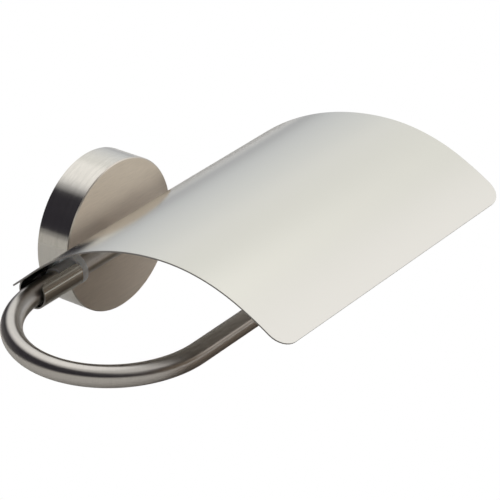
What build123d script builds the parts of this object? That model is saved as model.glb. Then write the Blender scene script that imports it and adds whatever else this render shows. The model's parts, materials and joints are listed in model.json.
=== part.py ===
from build123d import *

import os
from math import cos, radians, sin

# Toilet paper holder: round wall rosette, U-shaped roll bar and a hinged sheet cover.
#
# Frame: the wall is the plane Y = 0 and the room is on the -Y side, X runs to the
# right along the wall and Z is up. The origin is the centre of the rosette's back.
# All sizes are in millimetres and all angles in degrees.

# --- Rosette: a cup that hides the wall plate ---
rosette_radius = 30.0
rosette_depth = 14.3
rosette_rim = 2.5
rosette_face = 2.5
rosette_edge = 0.4

# --- Wall plate: a dish inside the rosette, with a V groove for the set screw ---
plate_clearance = 0.25
plate_height = 7.5
plate_floor = 3.0
plate_rim = 4.0
groove_depth = 1.55
wall_screw_spacing = 36.0
wall_screw_hole = 2.25
wall_screw_countersink = 4.5

# --- Set screw M4, hexagon socket, cone point ---
set_screw_radius = 2.0
set_screw_recess = 0.2
set_screw_gap = 0.1
set_screw_socket = 2.0
set_screw_socket_depth = 1.4

# --- Roll bar: one tube bent into a U that lies level ---
bar_radius = 4.0
bar_wall = 1.0
bar_height = 5.3
bend_radius = 36.25
bend_overlap = 2.35
roll_leg_inset = 10.0

# --- Post: carries the bar from the rosette's face, held from inside by an M5 screw ---
post_radius = 5.0
post_length = 10.1
post_chamfer = 0.5
spigot_radius = 4.0
spigot_flats = 6.8
spigot_set_back = 0.2
post_screw_radius = 2.5
post_screw_length = 8.0
post_screw_head = 4.75
post_screw_head_height = 2.8
post_screw_socket = 3.0
post_screw_socket_depth = 1.6
post_thread_spare = 1.5
washer_radius = 7.5
washer_thickness = 1.0
washer_clearance = 0.15

# --- Cover: thin sheet that rises flat from the bar, then arches in three arcs ---
sheet = 0.6
cover_width = 132.4
cover_slope_angle = 40.5
flat_length = 14.1
rising_arc_radius = 94.9
rising_arc_angle = 37.5
crown_arc_radius = 69.8
crown_arc_angle = 27.3
front_arc_radius = 110.6
front_arc_angle = 11.6
cover_corner_radius = 7.0

# --- Knuckles: two tabs of the sheet rolled around the bar, open at the top front ---
knuckle_rise = 0.55
knuckle_inset = 6.35
knuckle_length = 20.75
knuckle_roll_angle = 280.0
tab_length = 1.1
tab_corner_radius = 2.5

# --- Bushes: plastic sleeves that turn on the bar, with a flange against the knuckle ---
bush_wall = 0.9
bush_length = 8.6
bush_flange = 2.7

# --- End caps of the bar ---
cap_plug_length = 6.0
hinge_cap_lip = 0.8
hinge_cap_head = 1.5
hinge_cap_gap = 1.5
roll_cap_head = 2.4
cap_rounding = 1.0

# --- Clearances ---
running_fit = 0.05
seat_fit = 0.05
thread_fit = 0.02

# --- Sizes that follow ---
plate_radius = rosette_radius - rosette_rim - plate_clearance
groove_level = plate_height / 2
groove_bottom = plate_radius - groove_depth
cavity_depth = rosette_depth - rosette_face
bar_standoff = rosette_depth + post_length
bar_inner = bar_radius - bar_wall
bush_bore = bar_radius + running_fit
bush_radius = bush_bore + bush_wall
knuckle_inner = bush_radius + seat_fit + knuckle_rise
knuckle_outer = knuckle_inner + sheet
knuckle_far = cover_width / 2 - knuckle_inset
knuckle_near = knuckle_far - knuckle_length
bend_start = bend_overlap - knuckle_far
hinge_leg_end = knuckle_far + hinge_cap_gap
roll_leg_end = cover_width / 2 - roll_leg_inset
roll_leg_y = -bar_standoff - 2 * bend_radius

# Planes that the pieces are drawn on.
wall = Plane.XZ
face_of_rosette = wall.offset(rosette_depth)
hinge = Plane(origin=(0, -bar_standoff, bar_height), x_dir=(0, 1, 0), z_dir=(1, 0, 0))

# The sheet's slope, seen along X: its upward normal also points from the bar's axis to
# the knuckle's axis, which lies a little above so that the knuckle hangs on the sleeve.
slope = radians(cover_slope_angle)
sheet_normal = Vector(sin(slope), cos(slope))
knuckle = Plane(
    origin=hinge.from_local_coords(sheet_normal * knuckle_rise),
    x_dir=hinge.x_dir,
    z_dir=hinge.z_dir,
)


def socket_screw(base, radius, length, tip):
    """A screw's shank with a chamfered or pointed tip, drawn upwards from its base plane."""
    with BuildPart() as shank:
        with BuildSketch(base):
            Circle(radius)
        extrude(amount=length)
        chamfer(shank.faces().sort_by(Axis(base.origin, base.z_dir))[-1].edges(), length=tip)
    return shank.part


def save(part, name):
    """Label a finished piece and write it as one STEP file."""
    part.label = name
    export_step(part, f"parts/{name}.step")


os.makedirs("parts", exist_ok=True)

# Rosette: turned cup, open towards the wall.
with BuildPart() as rosette:
    with BuildSketch(wall):
        Circle(rosette_radius)
    extrude(amount=rosette_depth)
    chamfer(rosette.faces().sort_by(Axis.Y)[0].edges(), length=rosette_edge)
    with BuildSketch(wall):
        Circle(rosette_radius - rosette_rim)
    extrude(amount=cavity_depth, mode=Mode.SUBTRACT)
    with BuildSketch(wall.offset(cavity_depth)):
        Circle(spigot_radius + seat_fit)
        Rectangle(3 * spigot_radius, spigot_flats + 2 * seat_fit, mode=Mode.INTERSECT)
    extrude(amount=rosette_face, mode=Mode.SUBTRACT)
    with Locations(Plane(origin=(0, -groove_level, -rosette_radius), z_dir=(0, 0, -1))):
        Hole(set_screw_radius, depth=2 * rosette_rim)
save(rosette.part, "rosette")

# Wall plate: dish with a V groove around its rim and two countersunk holes.
with BuildPart() as wall_plate:
    with BuildSketch(wall):
        Circle(plate_radius)
    extrude(amount=plate_height)
    with BuildSketch(wall.offset(plate_floor)):
        Circle(plate_radius - plate_rim)
    extrude(amount=plate_height - plate_floor, mode=Mode.SUBTRACT)
    with BuildSketch(Plane.XY):
        with BuildLine():
            Polyline(
                (groove_bottom, -groove_level),
                (plate_radius + groove_depth, -groove_level - 2 * groove_depth),
                (plate_radius + groove_depth, -groove_level + 2 * groove_depth),
                close=True,
            )
        make_face()
    revolve(axis=Axis.Y, mode=Mode.SUBTRACT)
    with Locations(wall.offset(plate_floor)):
        with GridLocations(wall_screw_spacing, 0, 2, 1):
            CounterSinkHole(wall_screw_hole, wall_screw_countersink)
save(wall_plate.part, "wall_plate")

# Set screw: stands in the rosette's rim from below, its cone in the plate's groove.
set_screw_end = rosette_radius - set_screw_recess
set_screw_length = set_screw_end - groove_bottom - set_screw_gap
set_screw_base = Plane(origin=(0, -groove_level, -set_screw_end), x_dir=(1, 0, 0), z_dir=(0, 0, 1))
cone = set_screw_radius - 2 * thread_fit
with BuildPart() as rosette_set_screw:
    add(socket_screw(set_screw_base, set_screw_radius - thread_fit, set_screw_length, cone))
    with BuildSketch(set_screw_base):
        RegularPolygon(set_screw_socket / 2, 6, major_radius=False)
    extrude(amount=set_screw_socket_depth, mode=Mode.SUBTRACT)
save(rosette_set_screw.part, "rosette_set_screw")

# Roll bar: hinge leg along the wall, half-round bend, roll leg back to the right.
with BuildPart() as roll_bar:
    with BuildLine(Plane.XY.offset(bar_height)) as bar_path:
        hinge_leg = Line((hinge_leg_end, -bar_standoff), (bend_start, -bar_standoff))
        bend = TangentArc(hinge_leg @ 1, (bend_start, roll_leg_y), tangent=hinge_leg % 1)
        Line(bend @ 1, (roll_leg_end, roll_leg_y))
    with BuildSketch(hinge.offset(hinge_leg_end)):
        Circle(bar_radius)
        Circle(bar_inner, mode=Mode.SUBTRACT)
    sweep(path=bar_path.wire())
save(roll_bar.part, "roll_bar")

# Post: round stud whose front end is hollowed to seat the bar, with a flatted spigot
# through the rosette's face and a thread for the screw from inside.
spigot_length = rosette_face - spigot_set_back
screw_seat = cavity_depth - washer_thickness
thread_depth = post_screw_length - washer_thickness - spigot_set_back + post_thread_spare
with BuildPart() as post:
    with BuildSketch(face_of_rosette):
        Circle(post_radius)
    extrude(amount=post_length)
    chamfer(post.faces().sort_by(Axis.Y)[0].edges(), length=post_chamfer)
    with BuildSketch(face_of_rosette):
        Circle(spigot_radius)
        Rectangle(3 * spigot_radius, spigot_flats, mode=Mode.INTERSECT)
    extrude(amount=-spigot_length)
    with BuildSketch(hinge):
        Circle(bar_radius + seat_fit)
    extrude(amount=2 * post_radius, both=True, mode=Mode.SUBTRACT)
    with Locations(Plane(origin=(0, spigot_length - rosette_depth, 0), z_dir=(0, 1, 0))):
        Hole(post_screw_radius, depth=thread_depth)
save(post.part, "post")

# Washer and screw that clamp the post to the rosette's face.
with BuildPart() as post_washer:
    with BuildSketch(wall.offset(screw_seat)):
        Circle(washer_radius)
        Circle(post_screw_radius + washer_clearance, mode=Mode.SUBTRACT)
    extrude(amount=washer_thickness)
save(post_washer.part, "post_washer")

with BuildPart() as post_screw:
    add(
        socket_screw(
            wall.offset(screw_seat), post_screw_radius - thread_fit, post_screw_length, post_chamfer
        )
    )
    with BuildSketch(wall.offset(screw_seat)):
        Circle(post_screw_head)
    extrude(amount=-post_screw_head_height)
    fillet(post_screw.faces().sort_by(Axis.Y)[-1].edges(), radius=post_screw_head_height / 2)
    with BuildSketch(wall.offset(screw_seat - post_screw_head_height)):
        RegularPolygon(post_screw_socket / 2, 6, major_radius=False)
    extrude(amount=post_screw_socket_depth, mode=Mode.SUBTRACT)
save(post_screw.part, "post_screw")


def end_cap(leg_end, leg_y, head_radius, head_length):
    """A plug that closes one end of the bar, with a rounded head outside the tube."""
    seat = Plane(origin=(leg_end, leg_y, bar_height), x_dir=(0, 1, 0), z_dir=(1, 0, 0))
    with BuildPart() as cap:
        with BuildSketch(seat):
            Circle(head_radius)
        extrude(amount=head_length)
        fillet(cap.faces().sort_by(Axis.X)[-1].edges(), radius=cap_rounding)
        with BuildSketch(seat):
            Circle(bar_inner - seat_fit)
        extrude(amount=-cap_plug_length)
    return cap.part


hinge_cap = end_cap(hinge_leg_end, -bar_standoff, bar_radius + hinge_cap_lip, hinge_cap_head)
save(hinge_cap, "hinge_bar_end_cap")
save(end_cap(roll_leg_end, roll_leg_y, bar_radius, roll_cap_head), "roll_bar_end_cap")

# Cover: the sheet rises from the knuckles along its flat and arches to the front.
sheet_back = sheet_normal * knuckle_outer + Vector(-cos(slope), sin(slope)) * tab_length
with BuildPart() as cover:
    with BuildSketch(knuckle.offset(-cover_width / 2)):
        with BuildLine():
            flat = PolarLine(sheet_back, flat_length, 180 - cover_slope_angle)
            rising = JernArc(flat @ 1, flat % 1, rising_arc_radius, rising_arc_angle)
            crown = JernArc(rising @ 1, rising % 1, crown_arc_radius, crown_arc_angle)
            JernArc(crown @ 1, crown % 1, front_arc_radius, front_arc_angle)
            offset(amount=sheet, side=Side.LEFT)
        make_face()
    extrude(amount=cover_width)
    front = cover.faces().sort_by(Axis.Y)[0]
    fillet(front.edges().filter_by(Axis.X, reverse=True), radius=cover_corner_radius)
    for side in (-1, 1):
        with BuildSketch(knuckle.offset(side * knuckle_near)):
            with BuildLine():
                tab = PolarLine(sheet_back, tab_length, -cover_slope_angle)
                roll = JernArc(tab @ 1, tab % 1, knuckle_outer, -knuckle_roll_angle)
                offset(amount=sheet, side=Side.RIGHT)
            make_face()
        extrude(amount=side * knuckle_length)
        lip = knuckle.offset(side * (knuckle_near + knuckle_far) / 2).from_local_coords(roll @ 1)
        lip_face = cover.faces().filter_by(GeomType.PLANE).sort_by_distance(lip)[0]
        fillet(lip_face.edges().filter_by(Axis.X, reverse=True), radius=tab_corner_radius)
save(cover.part, "cover")


def bush(side):
    """A sleeve on the bar inside one knuckle; its flange has a flat under the sheet."""
    flange_side = side * (knuckle_near - running_fit)
    flat_level = knuckle_inner - seat_fit
    with BuildPart() as sleeve:
        with BuildSketch(hinge.offset(flange_side)):
            Circle(bush_radius)
        extrude(amount=side * bush_length)
        with BuildSketch(knuckle.offset(flange_side)):
            Circle(knuckle_outer)
            with PolarLocations(flat_level + knuckle_outer, 1, 90 - cover_slope_angle):
                Rectangle(2 * knuckle_outer, 2 * knuckle_outer, mode=Mode.SUBTRACT)
        extrude(amount=-side * bush_flange)
        with BuildSketch(hinge.offset(flange_side)):
            Circle(bush_bore)
        extrude(amount=bush_length + bush_flange, both=True, mode=Mode.SUBTRACT)
    return sleeve.part


save(bush(-1), "bush_left")
save(bush(1), "bush_right")
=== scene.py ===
import json
import math

import bpy
from mathutils import Matrix, Vector


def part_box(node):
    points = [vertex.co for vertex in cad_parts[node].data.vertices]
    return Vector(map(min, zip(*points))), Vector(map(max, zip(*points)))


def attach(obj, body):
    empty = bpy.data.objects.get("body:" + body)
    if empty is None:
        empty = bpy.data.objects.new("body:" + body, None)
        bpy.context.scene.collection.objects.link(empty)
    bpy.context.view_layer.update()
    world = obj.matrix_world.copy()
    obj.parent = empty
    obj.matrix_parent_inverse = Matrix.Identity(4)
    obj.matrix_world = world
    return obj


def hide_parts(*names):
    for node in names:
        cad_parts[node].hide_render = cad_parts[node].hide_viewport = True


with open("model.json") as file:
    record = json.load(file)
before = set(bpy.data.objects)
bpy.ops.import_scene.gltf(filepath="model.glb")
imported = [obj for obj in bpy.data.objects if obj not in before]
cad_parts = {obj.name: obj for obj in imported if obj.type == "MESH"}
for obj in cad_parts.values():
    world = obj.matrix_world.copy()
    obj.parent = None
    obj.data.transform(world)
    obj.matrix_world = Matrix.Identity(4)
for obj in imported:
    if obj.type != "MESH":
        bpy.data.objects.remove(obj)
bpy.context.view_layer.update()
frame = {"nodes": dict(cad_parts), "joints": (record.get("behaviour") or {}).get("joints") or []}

nodes = frame["nodes"]
scene = bpy.context.scene


# --- Camera ---
# A long lens looks down on the holder from the front left, with the wall side turned away.
# The aim is a point a little right of the rosette's middle, out under the cover.
camera_azimuth = math.radians(-52.134)
camera_elevation = math.radians(28.613)
camera_roll = math.radians(-1.216)
camera_aim = Vector((0.01999, -0.06, -0.00097))
camera_distance = 0.9709

camera_data = bpy.data.cameras.new("studio_camera")
camera_data.sensor_width = 36.0
camera_data.lens = 189.49
camera = bpy.data.objects.new("studio_camera", camera_data)
scene.collection.objects.link(camera)
scene.camera = camera
backward = Vector((
    math.sin(camera_azimuth) * math.cos(camera_elevation),
    -math.cos(camera_azimuth) * math.cos(camera_elevation),
    math.sin(camera_elevation),
))
level_right = Vector((math.cos(camera_azimuth), math.sin(camera_azimuth), 0))
level_up = backward.cross(level_right)
picture_right = math.cos(camera_roll) * level_right + math.sin(camera_roll) * level_up
picture_up = backward.cross(picture_right)
turned = Matrix((picture_right, picture_up, backward)).transposed().to_4x4()
camera.matrix_world = Matrix.Translation(camera_aim + camera_distance * backward) @ turned


# --- Wall plate ---
# The dish that is screwed to the wall and carries the rosette is die-cast zinc. It is left as
# cast: dull grey, with a fine cloudy skin and a faint pebble from the mould.
def put(tree, kind, inputs=(), **options):
    """Adds one node, sets its options, and fills its inputs from values or other sockets."""
    made = tree.nodes.new(kind)
    for name, value in options.items():
        setattr(made, name, value)
    for key, value in dict(inputs).items():
        if isinstance(value, bpy.types.NodeSocket):
            tree.links.new(value, made.inputs[key])
        else:
            made.inputs[key].default_value = value
    return made


def finish(name, plain):
    """A new material with some plain values; returns it with its tree and its shader."""
    material = bpy.data.materials.new(name)
    material.use_nodes = True
    tree = material.node_tree
    skin = tree.nodes["Principled BSDF"]
    for socket, value in plain.items():
        skin.inputs[socket].default_value = value
    return material, tree, skin


def mottle(tree, scale, detail):
    """Cloudy spots all over a piece, from 0 to 1; a higher scale makes them smaller."""
    place = put(tree, "ShaderNodeTexCoord").outputs["Object"]
    spots = put(tree, "ShaderNodeTexNoise", {"Vector": place, "Scale": scale, "Detail": detail})
    return spots.outputs["Fac"]


def between(tree, measure, first, last):
    """A number that runs from first to last as a measure runs from 0 to 1."""
    mix = put(tree, "ShaderNodeMix", {0: measure, 2: first, 3: last}, data_type="FLOAT")
    return mix.outputs[0]


def tint(tree, measure, first, last):
    """A colour that runs from first to last as a measure runs from 0 to 1."""
    ends = [end if isinstance(end, bpy.types.NodeSocket) else (*end, 1) for end in (first, last)]
    mix = put(tree, "ShaderNodeMix", {0: measure, 6: ends[0], 7: ends[1]}, data_type="RGBA")
    return mix.outputs[2]


def coat(tree, skin, colour, roughness):
    """Gives a shader a colour and a roughness that change over the piece."""
    tree.links.new(colour, skin.inputs["Base Color"])
    tree.links.new(roughness, skin.inputs["Roughness"])


def emboss(tree, skin, height, strength, depth):
    """Gives a shader a shallow relief: how much of it shows, and its depth in metres."""
    relief = put(tree, "ShaderNodeBump", {
        "Strength": strength, "Distance": depth, "Height": height,
    })
    tree.links.new(relief.outputs["Normal"], skin.inputs["Normal"])


def dress(node, material):
    """Gives one of the frame's solids its finish."""
    for holder in nodes[node].material_slots:
        holder.material = material


cast_zinc, tree, skin = finish("cast_zinc", {"Metallic": 1.0})
clouds = mottle(tree, scale=140.0, detail=4.0)
pebble = mottle(tree, scale=1800.0, detail=2.0)
coat(
    tree, skin,
    colour=tint(tree, clouds, (0.42, 0.43, 0.44), (0.60, 0.60, 0.59)),
    roughness=between(tree, clouds, 0.38, 0.56),
)
emboss(tree, skin, pebble, strength=0.35, depth=0.0001)
dress("wall_plate", cast_zinc)


# --- Rosette ---
# A round cup is turned from thick brass and brushed, around its rim while it spins and in
# straight level strokes over its face, then plated in nickel. It slips over the wall plate.
grain_depth = 0.00003
# Across the rounded corner the surface turns to the front. These are its normal's Y where the
# strokes of the rim begin to give way, and where those of the face have taken over.
rim_ends = -0.5
face_starts = -0.9


def brushed_grain():
    """A shader group: the fine scratches and slow streaks of brushing, and a blend of the two."""
    streak_share = 0.3
    group = bpy.data.node_groups.new("brushed_grain", "ShaderNodeTree")
    face = group.interface
    face.new_socket("Vector", in_out="INPUT", socket_type="NodeSocketVector")
    for name in ("Scratch Pitch", "Scratch Length", "Streak Pitch", "Streak Length"):
        face.new_socket(name, in_out="INPUT", socket_type="NodeSocketFloat")
    for name in ("Scratches", "Streaks", "Marks"):
        face.new_socket(name, in_out="OUTPUT", socket_type="NodeSocketFloat")
    given = put(group, "NodeGroupInput").outputs
    found = []
    for mark, detail in (("Scratch", 3.0), ("Streak", 1.5)):
        size = put(group, "ShaderNodeCombineXYZ", {
            "X": given[f"{mark} Pitch"], "Y": given[f"{mark} Length"], "Z": given[f"{mark} Length"],
        })
        scaled = put(group, "ShaderNodeVectorMath", {
            0: given["Vector"], 1: size.outputs[0],
        }, operation="DIVIDE")
        noise = put(group, "ShaderNodeTexNoise", {
            "Vector": scaled.outputs[0], "Scale": 1.0, "Detail": detail, "Roughness": 0.6,
        })
        found.append(noise.outputs["Fac"])
    scratches, streaks = found
    put(group, "NodeGroupOutput", {
        "Scratches": scratches,
        "Streaks": streaks,
        "Marks": between(group, streak_share, scratches, streaks),
    })
    return group


grain = brushed_grain()


def grain_marks(tree, across_first, scratch, streak):
    """Places the grain: the vector's X lies across the strokes; sizes are (pitch, length)."""
    marks = put(tree, "ShaderNodeGroup", {
        "Vector": across_first,
        "Scratch Pitch": scratch[0],
        "Scratch Length": scratch[1],
        "Streak Pitch": streak[0],
        "Streak Length": streak[1],
    }, node_tree=grain).outputs
    return marks["Scratches"], marks["Streaks"], marks["Marks"]


rosette_nickel, tree, skin = finish(
    "brushed_rosette_nickel", {"Metallic": 1.0, "Anisotropic": 0.85}
)
place = put(tree, "ShaderNodeTexCoord").outputs
spot = put(tree, "ShaderNodeSeparateXYZ", {0: place["Object"]}).outputs
facing = put(tree, "ShaderNodeSeparateXYZ", {0: place["Normal"]}).outputs
on_face = put(tree, "ShaderNodeMapRange", {
    "Value": facing["Y"], "From Min": rim_ends, "From Max": face_starts,
}, interpolation_type="SMOOTHSTEP").outputs["Result"]
rim_place = put(tree, "ShaderNodeCombineXYZ", {"X": spot["Y"], "Y": spot["X"], "Z": spot["Z"]})
face_place = put(tree, "ShaderNodeCombineXYZ", {"X": spot["Z"], "Y": spot["X"], "Z": spot["Y"]})
rim_scratches, rim_streaks, rim_marks = grain_marks(
    tree, rim_place.outputs[0], scratch=(0.00024, 0.003), streak=(0.0011, 0.09)
)
face_scratches, face_streaks, face_marks = grain_marks(
    tree, face_place.outputs[0], scratch=(0.00026, 0.005), streak=(0.0012, 0.05)
)
scratches = between(tree, on_face, rim_scratches, face_scratches)
streaks = between(tree, on_face, rim_streaks, face_streaks)
# The face's colours are browner than the rim's, though both are the same nickel: the extra brown is
# a painted reflection of the brown shade under the cover.
coat(
    tree, skin,
    colour=tint(
        tree, on_face,
        tint(tree, rim_marks, (0.535, 0.515, 0.465), (0.885, 0.85, 0.785)),
        tint(tree, face_marks, (0.58, 0.515, 0.447), (0.89, 0.795, 0.69)),
    ),
    roughness=between(
        tree, on_face, between(tree, streaks, 0.14, 0.19), between(tree, streaks, 0.42, 0.50)
    ),
)
emboss(tree, skin, scratches, strength=0.10, depth=grain_depth)
strokes = put(tree, "ShaderNodeMix", {0: on_face, 4: (0, 1, 0), 5: (0, 0, 1)}, data_type="VECTOR")
tree.links.new(strokes.outputs[1], skin.inputs["Tangent"])
dress("rosette", rosette_nickel)


# --- Screws ---
# The set screw under the rosette and the screw behind the post are plain socket screws of
# hardened steel, oiled and unevenly dark. The washer between screw and rosette is dull zinc.
screw_steel, tree, skin = finish("oiled_screw_steel", {"Metallic": 1.0})
oil = mottle(tree, scale=900.0, detail=3.0)
coat(
    tree, skin,
    colour=tint(tree, oil, (0.20, 0.20, 0.21), (0.34, 0.33, 0.32)),
    roughness=between(tree, oil, 0.24, 0.42),
)
dress("rosette_set_screw", screw_steel)
dress("post_screw", screw_steel)
dress("post_washer", cast_zinc)


# --- Roll bar ---
# A straight brass tube is plated, polished with a belt that runs around it, and bent to a U.
# Its wall leg passes through the post, and both ends are closed by caps.
bar_low, bar_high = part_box("roll_bar")
bar_radius = (bar_high[2] - bar_low[2]) / 2
bar_level = (bar_high[2] + bar_low[2]) / 2
bend_radius = (bar_high[1] - bar_low[1]) / 2 - bar_radius
wall_leg_y = bar_high[1] - bar_radius
bend_start = bar_low[0] + bend_radius + bar_radius
roll_cap_head = 0.0024
roll_leg_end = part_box("roll_bar_end_cap")[1][0] - roll_cap_head
bar_wall = 0.001
bar_points = 220
bar_facets = 64
worn_nickel = (0.58, 0.55, 0.51)
bright_nickel = (0.73, 0.69, 0.64)


def open_tree(name, inputs):
    """A geometry tree with named inputs; returns it, their sockets and their identifiers."""
    tree = bpy.data.node_groups.new(name, "GeometryNodeTree")
    identifiers = {}
    for label, kind in inputs.items():
        socket = tree.interface.new_socket(label, in_out="INPUT", socket_type=f"NodeSocket{kind}")
        identifiers[label] = socket.identifier
    return tree, put(tree, "NodeGroupInput").outputs, identifiers


def close_tree(tree, shape, material):
    """Ends a geometry tree: the shape is shaded smooth, made real and given its material."""
    tree.interface.new_socket("Piece", in_out="OUTPUT", socket_type="NodeSocketGeometry")
    smooth = put(tree, "GeometryNodeSetShadeSmooth", {"Geometry": shape})
    real = put(tree, "GeometryNodeRealizeInstances", {"Geometry": smooth.outputs[0]})
    painted = put(tree, "GeometryNodeSetMaterial", {
        "Geometry": real.outputs[0], "Material": material,
    })
    put(tree, "NodeGroupOutput", {"Piece": painted.outputs[0]})


def added(tree, first, second):
    """The sum of two vectors."""
    return put(tree, "ShaderNodeVectorMath", {0: first, 1: second}, operation="ADD").outputs[0]


def along_run():
    """A geometry group: how far one straight or evenly curved run carries a point.

    Distance is how far along the work the point lies past the start of this run. The group
    gives the move that the run adds, the heading after it, and the distance that is left.
    """
    hair_of_turn = 0.000001
    group, given, identifiers = open_tree(
        "along_run", {"Distance": "Float", "Heading": "Float", "Length": "Float", "Angle": "Float"}
    )
    for name, kind in (("Move", "Vector"), ("Heading", "Float"), ("Rest", "Float")):
        group.interface.new_socket(name, in_out="OUTPUT", socket_type=f"NodeSocket{kind}")

    def reckon(operation, *numbers):
        """One step of arithmetic."""
        sums = put(group, "ShaderNodeMath", dict(enumerate(numbers)), operation=operation)
        return sums.outputs[0]

    inside = put(group, "ShaderNodeClamp", {
        "Value": given["Distance"], "Min": 0.0, "Max": given["Length"],
    }).outputs[0]
    turn = reckon("DIVIDE", reckon("MULTIPLY", given["Angle"], inside), given["Length"])
    # The hair of turn keeps a straight run from dividing by nothing.
    half = reckon("ADD", reckon("MULTIPLY", turn, 0.5), hair_of_turn)
    chord = reckon("MULTIPLY", inside, reckon("DIVIDE", reckon("SINE", half), half))
    course = reckon("ADD", given["Heading"], half)
    move = put(group, "ShaderNodeCombineXYZ", {
        "X": reckon("MULTIPLY", chord, reckon("COSINE", course)),
        "Y": reckon("MULTIPLY", chord, reckon("SINE", course)),
    })
    put(group, "NodeGroupOutput", {
        "Move": move.outputs[0],
        "Heading": reckon("ADD", given["Heading"], turn),
        "Rest": reckon("SUBTRACT", given["Distance"], given["Length"]),
    })
    return group


run = along_run()


def run_inputs(names):
    """The inputs that a chain of runs needs: each run's length and the angle it turns."""
    return {f"{name} {size}": "Float" for name in names for size in ("Length", "Angle")}


def run_sizes(runs):
    """The values of those inputs, from each run's (length, angle)."""
    sizes = {}
    for name, (length, angle) in runs.items():
        sizes[f"{name} Length"] = length
        sizes[f"{name} Angle"] = angle
    return sizes


def follow(tree, given, names, distance, heading):
    """Chains runs in a tree, and returns the whole move at each point."""
    moves = None
    for name in names:
        step = put(tree, "GeometryNodeGroup", {
            "Distance": distance,
            "Heading": heading,
            "Length": given[f"{name} Length"],
            "Angle": given[f"{name} Angle"],
        }, node_tree=run).outputs
        distance, heading = step["Rest"], step["Heading"]
        moves = step["Move"] if moves is None else added(tree, moves, step["Move"])
    return moves


def made_by(tree, identifiers, name, mesh, sizes):
    """Runs a tree once on a mesh and returns the result as a plain mesh object."""
    piece = bpy.data.objects.new(name, mesh)
    scene.collection.objects.link(piece)
    modifier = piece.modifiers.new("make", "NODES")
    modifier.node_group = tree
    for label, value in sizes.items():
        modifier[identifiers[label]] = value
    surroundings = bpy.context.evaluated_depsgraph_get()
    piece.data = bpy.data.meshes.new_from_object(
        piece.evaluated_get(surroundings), preserve_all_data_layers=True, depsgraph=surroundings
    )
    piece.modifiers.remove(modifier)
    return piece


def bent_bar(names):
    """A geometry tree: a straight tube that is bent in its own level plane."""
    tree, given, identifiers = open_tree("bent_bar", {
        "Radius": "Float", "Start": "Vector", "Whole Length": "Float", "Heading": "Float",
        "Points": "Int", "Facets": "Int", "Finish": "Material", **run_inputs(names),
    })
    end = put(tree, "ShaderNodeCombineXYZ", {"X": given["Whole Length"]})
    straight = put(tree, "GeometryNodeCurvePrimitiveLine", {"End": end.outputs[0]})
    divided = put(tree, "GeometryNodeResampleCurve", {
        "Curve": straight.outputs[0], "Count": given["Points"],
    })
    place = put(tree, "GeometryNodeInputPosition")
    distance = put(tree, "ShaderNodeSeparateXYZ", {0: place.outputs[0]}).outputs["X"]
    moves = follow(tree, given, names, distance, given["Heading"])
    curved = put(tree, "GeometryNodeSetPosition", {
        "Geometry": divided.outputs[0], "Position": added(tree, given["Start"], moves),
    })
    noted = put(tree, "GeometryNodeStoreNamedAttribute", {
        "Geometry": curved.outputs[0], "Name": "along", "Value": distance,
    }, data_type="FLOAT", domain="POINT")
    way = put(tree, "GeometryNodeInputTangent")
    aimed = put(tree, "GeometryNodeStoreNamedAttribute", {
        "Geometry": noted.outputs[0], "Name": "way", "Value": way.outputs[0],
    }, data_type="FLOAT_VECTOR", domain="POINT")
    ring = put(tree, "GeometryNodeCurvePrimitiveCircle", {
        "Radius": given["Radius"], "Resolution": given["Facets"],
    })
    tube = put(tree, "GeometryNodeCurveToMesh", {
        "Curve": aimed.outputs[0], "Profile Curve": ring.outputs[0],
    })
    close_tree(tree, tube.outputs[0], given["Finish"])
    return tree, identifiers


bar_nickel, tree, skin = finish(
    "belt_polished_bar_nickel", {"Metallic": 1.0, "Anisotropic": 0.8}
)
along = put(tree, "ShaderNodeAttribute", attribute_name="along").outputs["Fac"]
way = put(tree, "ShaderNodeAttribute", attribute_name="way").outputs["Vector"]
place = put(tree, "ShaderNodeTexCoord").outputs["Object"]
spot = put(tree, "ShaderNodeSeparateXYZ", {0: place}).outputs
bar_place = put(tree, "ShaderNodeCombineXYZ", {"X": along, "Y": spot["Y"], "Z": spot["Z"]})
scratches, streaks, marks = grain_marks(
    tree, bar_place.outputs[0], scratch=(0.00024, 0.003), streak=(0.0016, 0.03)
)
coat(
    tree, skin,
    colour=tint(tree, marks, worn_nickel, bright_nickel),
    roughness=between(tree, streaks, 0.26, 0.32),
)
emboss(tree, skin, scratches, strength=0.05, depth=grain_depth)
tree.links.new(way, skin.inputs["Tangent"])

bar_runs = {
    "Wall Leg": (bar_high[0] - bend_start, 0.0),
    "Bend": (math.pi * bend_radius, math.pi),
    "Roll Leg": (roll_leg_end - bend_start, 0.0),
}
bar_tree, bar_inputs = bent_bar(list(bar_runs))
bar = made_by(bar_tree, bar_inputs, "bent_roll_bar", bpy.data.meshes.new("bent_roll_bar"), {
    "Radius": bar_radius,
    "Start": (bar_high[0], wall_leg_y, bar_level),
    "Whole Length": sum(length for length, angle in bar_runs.values()),
    "Heading": math.pi,
    "Points": bar_points,
    "Facets": bar_facets,
    "Finish": bar_nickel,
    **run_sizes(bar_runs),
})
wall = bar.modifiers.new("wall", "SOLIDIFY")
wall.thickness = bar_wall
wall.offset = -1.0
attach(bar, "holder")
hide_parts("roll_bar")


# --- Post and end caps ---
# The post is a turned stud that reaches from the rosette to the bar, and the caps are turned
# plugs pushed into the bar's ends. All three are brass, plated and polished like the bar.
turned_nickel, tree, skin = finish("turned_nickel", {"Metallic": 1.0})
place = put(tree, "ShaderNodeTexCoord").outputs["Object"]
scratches, streaks, marks = grain_marks(
    tree, place, scratch=(0.00024, 0.003), streak=(0.0009, 0.02)
)
coat(
    tree, skin,
    colour=tint(tree, marks, worn_nickel, bright_nickel),
    roughness=between(tree, streaks, 0.18, 0.25),
)
emboss(tree, skin, scratches, strength=0.05, depth=grain_depth)
for name in ("post", "hinge_bar_end_cap", "roll_bar_end_cap"):
    dress(name, turned_nickel)


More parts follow.
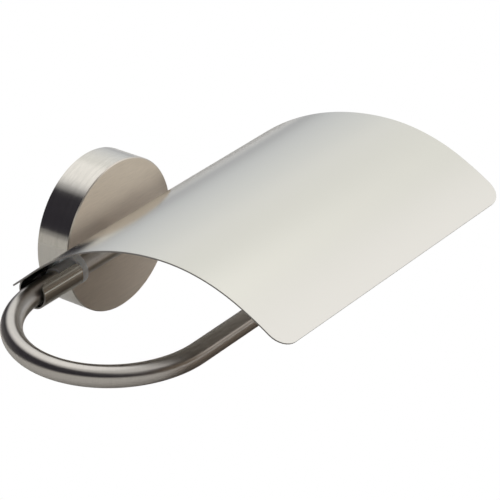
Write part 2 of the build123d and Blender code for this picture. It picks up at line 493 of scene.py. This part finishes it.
# --- Cover ---
# A blank is cut from thin stainless sheet with rounded front corners and two tabs at the back.
# It is deburred, its tabs are rolled into knuckles around the bar, and it is arched forward.
hinge = frame["joints"][0]["pos_m"]
cover_low, cover_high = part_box("cover")
half_width = (cover_high[0] - cover_low[0]) / 2
sheet = 0.0006
slope = math.radians(40.5)
flat_length = 0.0141
front_corner = 0.007
tab_corner = 0.0025
tab_inset = 0.00635
tab_width = 0.02075
tab_far = half_width - tab_inset
tab_near = tab_far - tab_width
tab_straight = 0.0011
knuckle_rise = 0.00055
knuckle_radius = 0.00615
knuckle_turn = math.radians(280)
edge_round = 0.00014
edge_limit = math.radians(50)
column_step = 0.0035
cover_step = 0.0022
tab_step = 0.0006
corner_steps = 8

cover_runs = {"Flat": (flat_length, 0.0)}
for name, radius, degrees in (
    ("Rising Arc", 0.0949, 37.5),
    ("Crown Arc", 0.0698, 27.3),
    ("Front Arc", 0.1106, 11.6),
):
    cover_runs[name] = (radius * math.radians(degrees), math.radians(degrees))
tab_runs = {
    "Tab": (tab_straight, 0.0),
    "Knuckle": (knuckle_radius * knuckle_turn, -knuckle_turn),
}


def strip_rows(length, half, corner, step):
    """Rows of (distance, half width) along a strip whose far end has rounded corners."""
    count = math.ceil((length - corner) / step)
    rows = [((length - corner) * i / count, half) for i in range(count)]
    for i in range(corner_steps + 1):
        turn = math.radians(90 * i / corner_steps)
        rows.append((length - corner * (1 - math.sin(turn)), half - corner * (1 - math.cos(turn))))
    return rows


def spread(marks, step):
    """Places between marks, in even steps no longer than the given one."""
    places = []
    for start, stop in zip(marks, marks[1:]):
        count = math.ceil((stop - start) / step)
        places += [start + (stop - start) * i / count for i in range(count)]
    return places + [marks[-1]]


def strip_grid(columns, middle, rows, way):
    """Points of a strip, row by row, running forwards (way 1) or back (way -1).

    The columns draw in together where a row is narrower.
    """
    full_half = rows[0][1]
    return [
        [(middle + (x - middle) * half / full_half, way * distance, 0) for x in columns]
        for distance, half in rows
    ]


def cover_blank():
    """The flat blank: X runs across it, and Y along it, from the tabs' lips to the front."""
    hair = 0.000001
    length = sum(size for size, angle in cover_runs.values())
    reach = sum(size for size, angle in tab_runs.values())
    columns = spread(
        [-half_width, -tab_far, -tab_near, tab_near, tab_far, half_width], column_step
    )
    front_rows = strip_rows(length, half_width, front_corner, cover_step)
    grids = [strip_grid(columns, 0, front_rows, 1)]
    tab_middle = (tab_near + tab_far) / 2
    tab_half = (tab_far - tab_near) / 2
    tab_rows = strip_rows(reach, tab_half, tab_corner, tab_step)
    for middle in (-tab_middle, tab_middle):
        across = [x for x in columns if abs(x - middle) < tab_half + hair]
        grids.append(strip_grid(across, middle, tab_rows, -1)[::-1])
    points, index, faces = [], {}, []

    def number(point):
        """A point's number; along the fold, a tab's points are the sheet's own."""
        key = tuple(round(value, 6) for value in point)
        if key not in index:
            index[key] = len(points)
            points.append(point)
        return index[key]

    for grid in grids:
        numbers = [[number(point) for point in row] for row in grid]
        for near, far in zip(numbers, numbers[1:]):
            for a, b, c, d in zip(near, near[1:], far[1:], far):
                faces.append((a, d, c, b))
    mesh = bpy.data.meshes.new("cover_blank")
    mesh.from_pydata(points, [], faces)
    return mesh


def bent_sheet(front_names, back_names):
    """A geometry tree: a flat blank bent forwards along one chain of runs, back along another."""
    tree, given, identifiers = open_tree("bent_sheet", {
        "Blank": "Geometry", "Fold": "Vector", "Heading": "Float", "Finish": "Material",
        **run_inputs(front_names + back_names),
    })
    place = put(tree, "GeometryNodeInputPosition").outputs[0]
    noted = put(tree, "GeometryNodeStoreNamedAttribute", {
        "Geometry": given["Blank"], "Name": "blank", "Value": place,
    }, data_type="FLOAT_VECTOR", domain="POINT")
    spot = put(tree, "ShaderNodeSeparateXYZ", {0: place}).outputs
    backwards = put(tree, "ShaderNodeMath", {0: spot["Y"], 1: -1.0}, operation="MULTIPLY")
    turned_back = put(tree, "ShaderNodeMath", {
        0: given["Heading"], 1: math.pi,
    }, operation="ADD")
    ahead = follow(tree, given, front_names, spot["Y"], given["Heading"])
    behind = follow(tree, given, back_names, backwards.outputs[0], turned_back.outputs[0])
    side_view = put(tree, "ShaderNodeSeparateXYZ", {0: added(tree, ahead, behind)}).outputs
    moved = put(tree, "ShaderNodeCombineXYZ", {
        "X": spot["X"], "Y": side_view["X"], "Z": side_view["Y"],
    })
    shaped = put(tree, "GeometryNodeSetPosition", {
        "Geometry": noted.outputs[0], "Position": added(tree, given["Fold"], moved.outputs[0]),
    })
    close_tree(tree, shaped.outputs[0], given["Finish"])
    return tree, identifiers


cover_steel, tree, skin = finish("brushed_cover_steel", {"Metallic": 1.0, "Anisotropic": 0.85})
blank = put(tree, "ShaderNodeAttribute", attribute_name="blank").outputs["Vector"]
scratches, streaks, marks = grain_marks(
    tree, blank, scratch=(0.00026, 0.016), streak=(0.0018, 0.12)
)
coat(
    tree, skin,
    colour=tint(tree, marks, (0.725, 0.71, 0.65), (0.755, 0.74, 0.68)),
    roughness=between(tree, streaks, 0.13, 0.17),
)
emboss(tree, skin, scratches, strength=0.02, depth=grain_depth)
across = put(tree, "ShaderNodeCombineXYZ", {"X": 1.0, "Y": 0.05, "Z": 0.05})
tree.links.new(across.outputs[0], skin.inputs["Tangent"])

cut_edge, tree, skin = finish("blanked_steel_edge", {"Metallic": 1.0})
tear = mottle(tree, scale=1600.0, detail=2.0)
coat(
    tree, skin,
    colour=tint(tree, tear, (0.26, 0.25, 0.24), (0.38, 0.36, 0.34)),
    roughness=between(tree, tear, 0.35, 0.50),
)

mill_steel, tree, skin = finish("mill_finish_steel", {"Metallic": 1.0})
blank = put(tree, "ShaderNodeAttribute", attribute_name="blank").outputs["Vector"]
streaks, marks = grain_marks(
    tree, blank, scratch=(0.0004, 0.004), streak=(0.006, 0.02)
)[1:]
coat(
    tree, skin,
    colour=tint(tree, marks, (0.56, 0.55, 0.535), (0.64, 0.63, 0.61)),
    roughness=between(tree, streaks, 0.14, 0.20),
)

up = Vector((0, math.sin(slope), math.cos(slope)))
back = Vector((0, math.cos(slope), -math.sin(slope)))
fold = Vector((0, hinge[1], hinge[2])) + up * (knuckle_rise + knuckle_radius) - back * tab_straight
cover_tree, cover_inputs = bent_sheet(list(cover_runs), list(tab_runs))
cover = made_by(cover_tree, cover_inputs, "sheet_cover", cover_blank(), {
    "Fold": fold,
    "Heading": math.pi - slope,
    "Finish": cover_steel,
    **run_sizes(cover_runs | tab_runs),
})
cover.data.materials.append(cut_edge)
cover.data.materials.append(mill_steel)
gauge = cover.modifiers.new("gauge", "SOLIDIFY")
gauge.thickness = sheet
gauge.offset = -1.0
gauge.use_even_offset = True
gauge.material_offset_rim = 1
gauge.material_offset = 2
deburr = cover.modifiers.new("deburr", "BEVEL")
deburr.width = edge_round
deburr.segments = 2
deburr.limit_method = "ANGLE"
deburr.angle_limit = edge_limit
deburr.harden_normals = True
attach(cover, "cover")
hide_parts("cover")


# --- Bushes ---
# Two sleeves of milky blue-grey nylon are moulded to run on the bar inside the knuckles. Their
# flanges keep the steel sheet off the plating, and their matt skin lets a little light in.
nylon, tree, skin = finish("milky_nylon", {
    "Subsurface Weight": 1.0,
    "Subsurface Radius": (0.9, 0.95, 1.0),
    "Subsurface Scale": 0.004,
})
flow = mottle(tree, scale=260.0, detail=2.0)
matt = mottle(tree, scale=4000.0, detail=1.0)
coat(
    tree, skin,
    colour=tint(tree, flow, (0.85, 0.89, 0.95), (0.91, 0.93, 0.96)),
    roughness=between(tree, flow, 0.38, 0.48),
)
emboss(tree, skin, matt, strength=0.2, depth=0.00003)
for name in ("bush_left", "bush_right"):
    dress(name, nylon)


# --- Studio light ---
# The light is a dome, and the eye sees plain white in its place. A wide soft ceiling leans over
# from behind on the right, and a pale table lies below. The room between them is dark, but for
# a pale wall on the right with a window and a lamp beside it.
def direction(azimuth, elevation):
    """The unit vector towards a part of the studio; azimuth 0 is behind the wall, 90 is right."""
    turn, rise = math.radians(azimuth), math.radians(elevation)
    level = math.cos(rise)
    return Vector((math.sin(turn) * level, math.cos(turn) * level, math.sin(rise)))


world = bpy.data.worlds.new("studio_room")
scene.world = world
world.use_nodes = True
room = world.node_tree
room.nodes.clear()
where = put(room, "ShaderNodeTexCoord").outputs["Generated"]


def towards(azimuth, elevation):
    """How nearly a ray points to a part of the studio, as a cosine."""
    return put(
        room, "ShaderNodeVectorMath", {0: where, 1: direction(azimuth, elevation)},
        operation="DOT_PRODUCT",
    ).outputs["Value"]


def gradient(measure, stops):
    """A colour that follows a cosine through (level, colour) stops."""
    span = put(room, "ShaderNodeMapRange", {"Value": measure, "From Min": -1.0, "From Max": 1.0})
    ramp = put(room, "ShaderNodeValToRGB", {"Fac": span.outputs["Result"]})
    ramp.color_ramp.interpolation = "EASE"
    while len(ramp.color_ramp.elements) < len(stops):
        ramp.color_ramp.elements.new(0.5)
    for element, (level, colour) in zip(ramp.color_ramp.elements, stops):
        element.position = (level + 1) / 2
        element.color = (*colour, 1)
    return ramp.outputs["Color"]


def patch(under, over, azimuth, elevation, outer, inner):
    """Lays one part of the room over another in a soft round patch, between two cone angles."""
    edge = put(room, "ShaderNodeMapRange", {
        "Value": towards(azimuth, elevation),
        "From Min": math.cos(math.radians(outer)),
        "From Max": math.cos(math.radians(inner)),
    }, interpolation_type="SMOOTHSTEP")
    return tint(room, edge.outputs["Result"], under, over)


table = gradient(towards(70, 61), [
    (-1.000, (0.48, 0.47, 0.45)),
    (-0.265, (0.50, 0.49, 0.47)),
    (-0.255, (0.27, 0.265, 0.26)),
    (-0.185, (0.25, 0.245, 0.24)),
    (-0.172, (0.032, 0.030, 0.038)),
    (1.000, (0.032, 0.030, 0.038)),
])
ceiling = gradient(towards(82, 59), [
    (-1.00, (0.0, 0.0, 0.0)),
    (0.40, (0.0, 0.0, 0.0)),
    (0.510, (0.02, 0.02, 0.02)),
    (0.525, (0.14, 0.14, 0.14)),
    (0.60, (0.42, 0.42, 0.42)),
    (0.67, (0.80, 0.80, 0.80)),
    (0.75, (1.02, 1.02, 1.01)),
    (0.90, (1.10, 1.10, 1.09)),
    (1.00, (1.02, 1.03, 1.04)),
])
side_wall = gradient(towards(0, 90), [
    (-0.20, (0.68, 0.68, 0.68)),
    (-0.165, (0.64, 0.64, 0.65)),
    (-0.140, (0.41, 0.42, 0.45)),
    (-0.100, (0.45, 0.46, 0.49)),
    (-0.06, (0.52, 0.53, 0.55)),
    (0.02, (0.63, 0.65, 0.68)),
    (0.105, (0.70, 0.72, 0.75)),
    (0.276, (0.785, 0.805, 0.825)),
    (0.45, (0.90, 0.91, 0.915)),
    (0.60, (0.90, 0.91, 0.90)),
    (0.68, (0.93, 0.94, 0.93)),
    (0.74, (1.16, 1.16, 1.15)),
])
beam = (0.56, 0.56, 0.56)
haze = (0.14, 0.135, 0.14)
warm_room = (0.16, 0.12, 0.085)
window = (0.74, 0.69, 0.63)
lamp = (1.09, 1.08, 1.10)
light = put(
    room, "ShaderNodeMix", {0: 1.0, 6: table, 7: ceiling}, data_type="RGBA", blend_type="ADD"
).outputs[2]
light = patch(light, beam, azimuth=130, elevation=62, outer=34, inner=6)
light = patch(light, haze, azimuth=5, elevation=-6, outer=26, inner=8)
light = patch(light, warm_room, azimuth=160, elevation=14, outer=36, inner=14)
light = patch(light, window, azimuth=122, elevation=30, outer=29, inner=25)
light = patch(light, side_wall, azimuth=80, elevation=12, outer=54, inner=40)
light = patch(light, lamp, azimuth=126, elevation=44, outer=28, inner=8)
seen = put(room, "ShaderNodeLightPath").outputs["Is Camera Ray"]
shade = put(room, "ShaderNodeBackground", {"Color": tint(room, seen, light, (1, 1, 1))})
put(room, "ShaderNodeOutputWorld", {"Surface": shade.outputs[0]})
scene.view_settings.view_transform = "Standard"


# --- Floor, painted shadow card and screen ---
# A pale floor lies below the holder and is plain white to the eye. A brown card on it, under
# the cover, is a painted shadow: it darkens the floor where the cover's shadow falls, as the
# holder sees it in its reflections. It and a lit screen on the left aren't seen themselves:
# they only tint the light, and both fade out at their edges.
def cut_out(tree, share, shader):
    """Ends a material that is clear where its share is 0 and solid where it is 1."""
    clear = put(tree, "ShaderNodeBsdfTransparent").outputs[0]
    blend = put(tree, "ShaderNodeMixShader", {0: share, 1: clear, 2: shader})
    tree.links.new(blend.outputs[0], tree.nodes["Material Output"].inputs["Surface"])


def inside_edges(tree, edges):
    """1 inside all the edges of a panel and 0 past them, with a soft border along each.

    An edge is given by its outward direction, how far out it lies, and its border's width.
    """
    place = put(tree, "ShaderNodeTexCoord").outputs["Object"]
    share = 1.0
    for outward, reach, border in edges:
        out = put(tree, "ShaderNodeVectorMath", {0: place, 1: outward}, operation="DOT_PRODUCT")
        inside = put(tree, "ShaderNodeMapRange", {
            "Value": out.outputs["Value"], "From Min": reach, "From Max": reach - border,
        }, interpolation_type="SMOOTHSTEP").outputs["Result"]
        share = put(tree, "ShaderNodeMath", {0: share, 1: inside}, operation="MULTIPLY").outputs[0]
    return share


def panel(name, corners, material):
    """A flat part of the studio with four corners."""
    mesh = bpy.data.meshes.new(name)
    mesh.from_pydata(corners, [], [(0, 1, 2, 3)])
    mesh.materials.append(material)
    made = bpy.data.objects.new(name, mesh)
    scene.collection.objects.link(made)
    return made


floor_height = -0.036
floor_back = 0.122
floor_reach = 20
pale, tree, paint = finish(
    "pale_floor", {"Base Color": (0.88, 0.87, 0.84, 1), "Roughness": 0.9}
)
lit = put(tree, "ShaderNodeMixShader", {
    0: put(tree, "ShaderNodeLightPath").outputs["Is Camera Ray"],
    1: paint.outputs[0],
    2: put(tree, "ShaderNodeEmission", {"Strength": 1.0}).outputs[0],
})
underside = put(tree, "ShaderNodeNewGeometry").outputs["Backfacing"]
upper_side = put(tree, "ShaderNodeMath", {0: 1.0, 1: underside}, operation="SUBTRACT")
cut_out(tree, upper_side.outputs[0], lit.outputs[0])
floor = panel("floor", [
    (-floor_reach, -floor_reach, floor_height),
    (floor_reach, -floor_reach, floor_height),
    (floor_reach, floor_back, floor_height),
    (-floor_reach, floor_back, floor_height),
], pale)

shadow_card_height = floor_height + 0.001
shadow_card_left = -0.075
shadow_card_back = -0.02
shadow_card_front = -1.2
shadow_card_back_right = 0.05
shadow_card_front_right = 1.04
shadow_card_middle = (-0.005, -0.085, floor_height)
# The card is painted shadow: a dark brown sheet on the floor that stands in for the cover's cast
# shadow there, seen only in the holder's reflections.
painted_shadow, tree, paint = finish("painted_shadow_card", {"Roughness": 0.9})
place = put(tree, "ShaderNodeTexCoord").outputs["Object"]
off_middle = put(tree, "ShaderNodeVectorMath", {0: place, 1: shadow_card_middle}, operation="DISTANCE")
outer_shadow_card = put(tree, "ShaderNodeMapRange", {
    "Value": off_middle.outputs["Value"], "From Min": 0.045, "From Max": 0.095,
}, interpolation_type="SMOOTHSTEP").outputs["Result"]
# The painted shadow's brown is lighter within a few centimetres of its middle, under the holder,
# where the cover's own shadow already darkens the floor, and darker further out.
tree.links.new(
    tint(tree, outer_shadow_card, (0.34, 0.285, 0.235), (0.29, 0.235, 0.185)), paint.inputs["Base Color"]
)
# Where the painted shadow lies on the floor, with a soft border along each edge.
on_shadow_card = inside_edges(tree, [
    ((-1, 0, 0), -shadow_card_left, 0.035),
    ((0, 1, 0), shadow_card_back, 0.045),
    ((0.766, 0.643, 0), 0.017, 0.030),
    ((0, -1, 0), -shadow_card_front, 0.20),
    ((0.6, -0.8, 0), 0.30, 0.05),
])
cut_out(tree, on_shadow_card, paint.outputs[0])
shadow_card = panel("painted_shadow_card", [
    (shadow_card_left, shadow_card_front, shadow_card_height),
    (shadow_card_front_right, shadow_card_front, shadow_card_height),
    (shadow_card_back_right, shadow_card_back, shadow_card_height),
    (shadow_card_left, shadow_card_back, shadow_card_height),
], painted_shadow)
shadow_card.visible_camera = False

screen_left = -0.13
screen_front = -0.25
screen_back = 0.02
screen_foot = 0.066
screen_head = 0.7
screen_soft = 0.05
lit_cloth, tree = finish("left_screen", {})[:2]
cloth = put(tree, "ShaderNodeEmission", {"Color": (0.62, 0.62, 0.61, 1), "Strength": 1.0})
on_screen = inside_edges(tree, [
    ((0, 0, -1), -screen_foot, screen_soft),
    ((0, 1, 0), screen_back, screen_soft),
    ((0, -1, 0), -screen_front, screen_soft),
])
cut_out(tree, on_screen, cloth.outputs[0])
screen = panel("left_screen", [
    (screen_left, screen_front, screen_foot),
    (screen_left, screen_back, screen_foot),
    (screen_left, screen_back, screen_head),
    (screen_left, screen_front, screen_head),
], lit_cloth)
screen.visible_camera = False
screen.visible_diffuse = False
screen.visible_shadow = False
